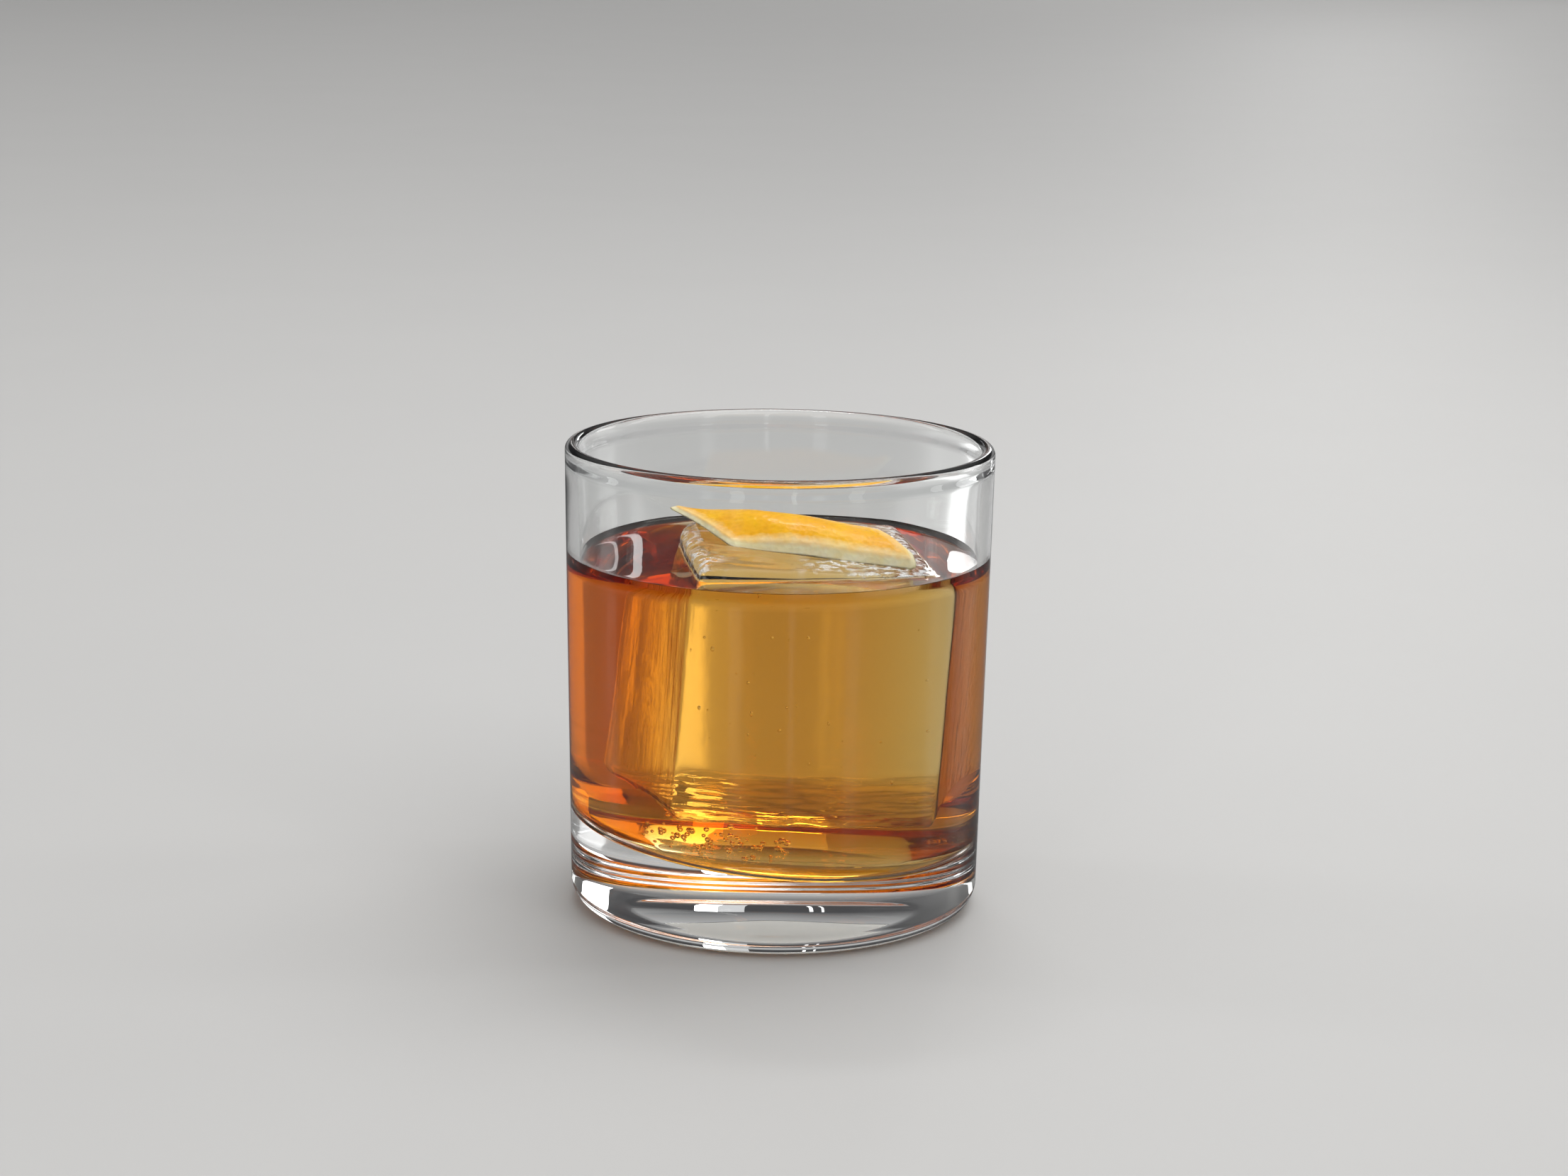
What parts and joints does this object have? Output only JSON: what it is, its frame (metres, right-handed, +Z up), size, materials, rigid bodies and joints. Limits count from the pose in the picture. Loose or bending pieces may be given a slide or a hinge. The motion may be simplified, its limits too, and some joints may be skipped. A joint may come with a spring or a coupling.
{
  "type": "old fashioned cocktail",
  "caption": "Amber whiskey cocktail in a heavy-based rocks tumbler, with a large clear ice block afloat and a strip of orange peel on the ice.",
  "frame": {"origin": "middle of the tumbler's foot, on the surface it stands on", "axes": "+Z up the tumbler's axis and out of its mouth, -Y towards the front"},
  "size_m": [0.0864, 0.0864, 0.095],
  "materials": {
    "clear_glass": "clear fire-polished soda glass",
    "amber_drink": "clear amber spirit",
    "clear_ice": "wet clear ice with a few cracks and bubbles",
    "orange_zest": "waxy wet zest over cream pith"
  },
  "bodies": {
    "root": {"tumbler": "clear_glass", "drink": "amber_drink", "ice_block": "clear_ice", "citrus_peel": "orange_zest"}
  },
  "joints": []
}
